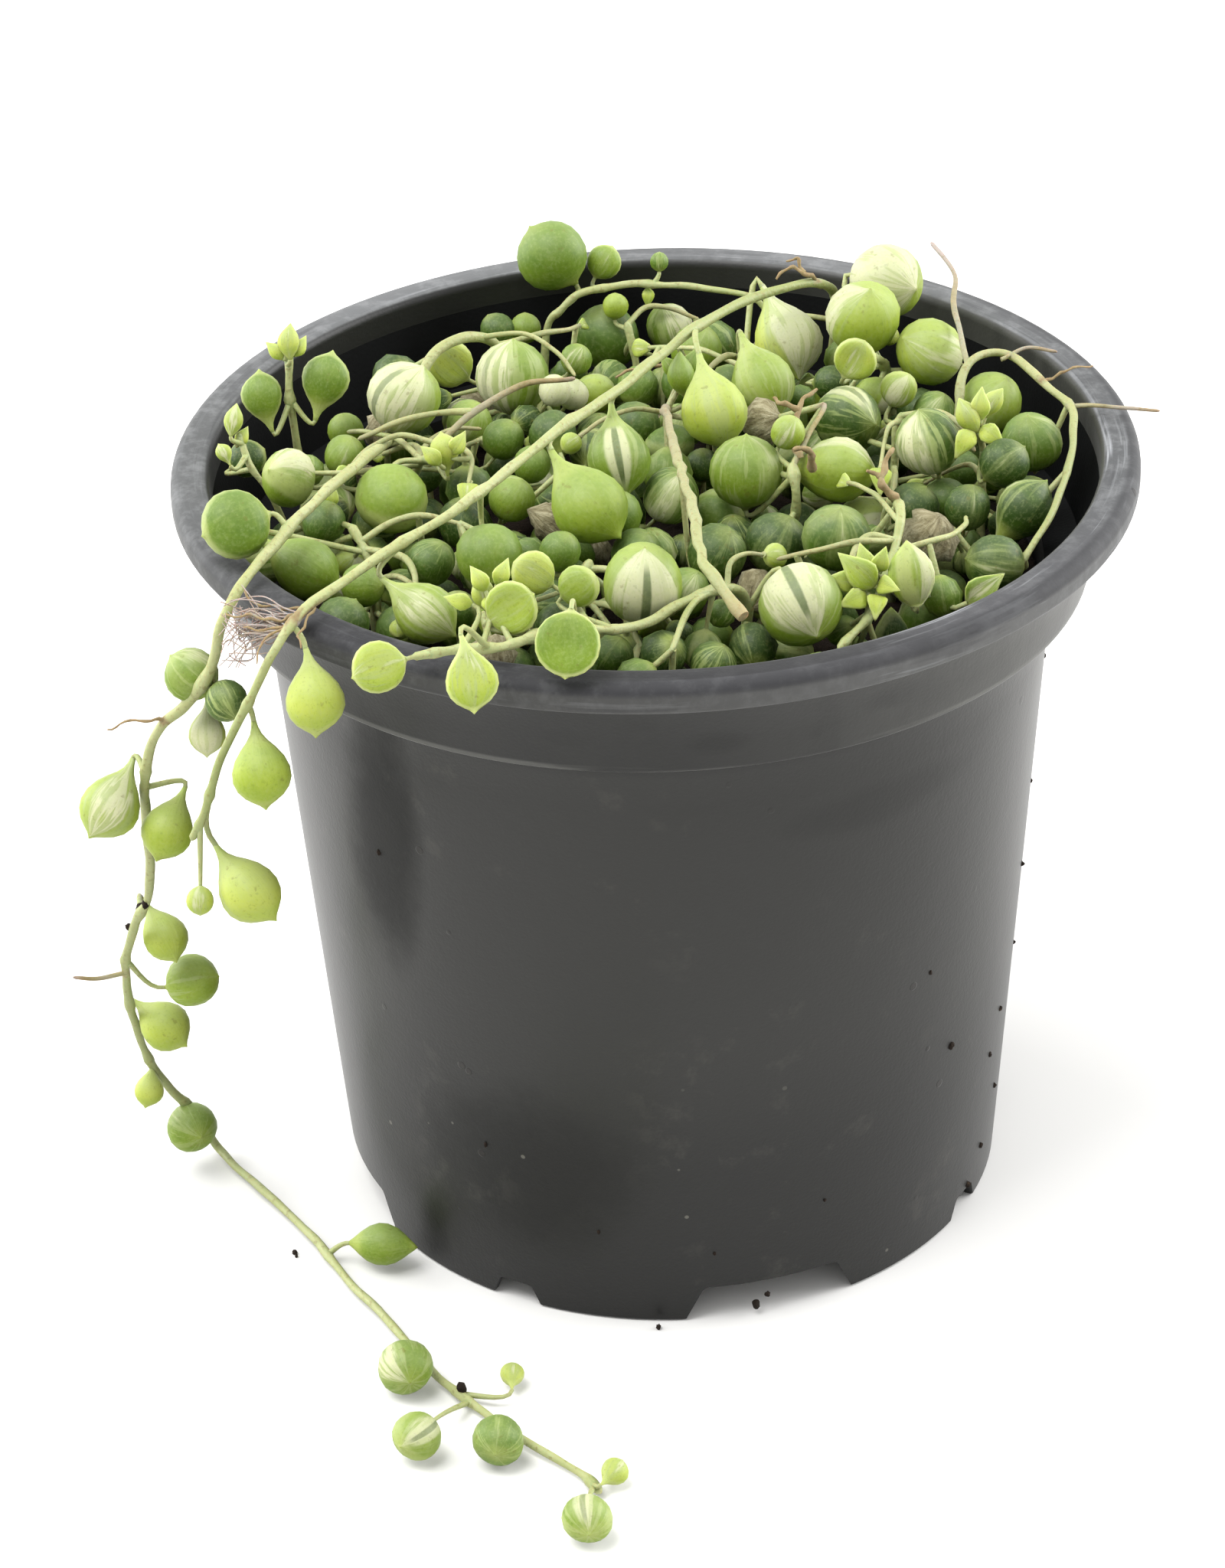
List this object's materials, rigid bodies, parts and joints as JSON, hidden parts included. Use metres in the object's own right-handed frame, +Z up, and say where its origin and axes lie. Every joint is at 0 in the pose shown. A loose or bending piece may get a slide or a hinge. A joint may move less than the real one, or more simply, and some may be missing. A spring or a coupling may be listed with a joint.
{
  "type": "potted variegated string of pearls",
  "caption": "Round tapered nursery pot filled with soil and a trailing succulent with bead-like striped leaves; strands hang over the lip and one lies along the surface.",
  "frame": {"origin": "centre of the pot's base, on the surface that it stands on", "axes": "+Z up along the pot's axis; -Y towards the front, where the trailing strand lies; +X to the front's right"},
  "size_m": [0.1214, 0.1301, 0.1025],
  "materials": {
    "pot_plastic": "semi-matte black, dusty at the lip",
    "potting_soil": "dark crumbly peat",
    "foliage": "waxy, green with cream stripes and windows"
  },
  "bodies": {
    "root": {"pot": "pot_plastic", "soil": "potting_soil", "strand_over_front_left": "foliage", "strand_trailing_left": "foliage", "strand_back_arch": "foliage", "strand_right_arc": "foliage", "shoot_left_upright": "foliage", "shoot_left_low": "foliage", "strand_over_front_lip": "foliage", "stub_cut_dry": "foliage", "sprig_back_right": "foliage", "sprig_back_centre": "foliage", "sprig_right_centre": "foliage", "sprig_right_edge": "foliage", "sprig_centre": "foliage", "sprig_front_right": "foliage", "sprig_back_left": "foliage", "sprig_back_wall": "foliage", "sprig_left": "foliage", "sprig_front_left": "foliage", "sprig_middle": "foliage", "sprig_front": "foliage"}
  },
  "joints": []
}
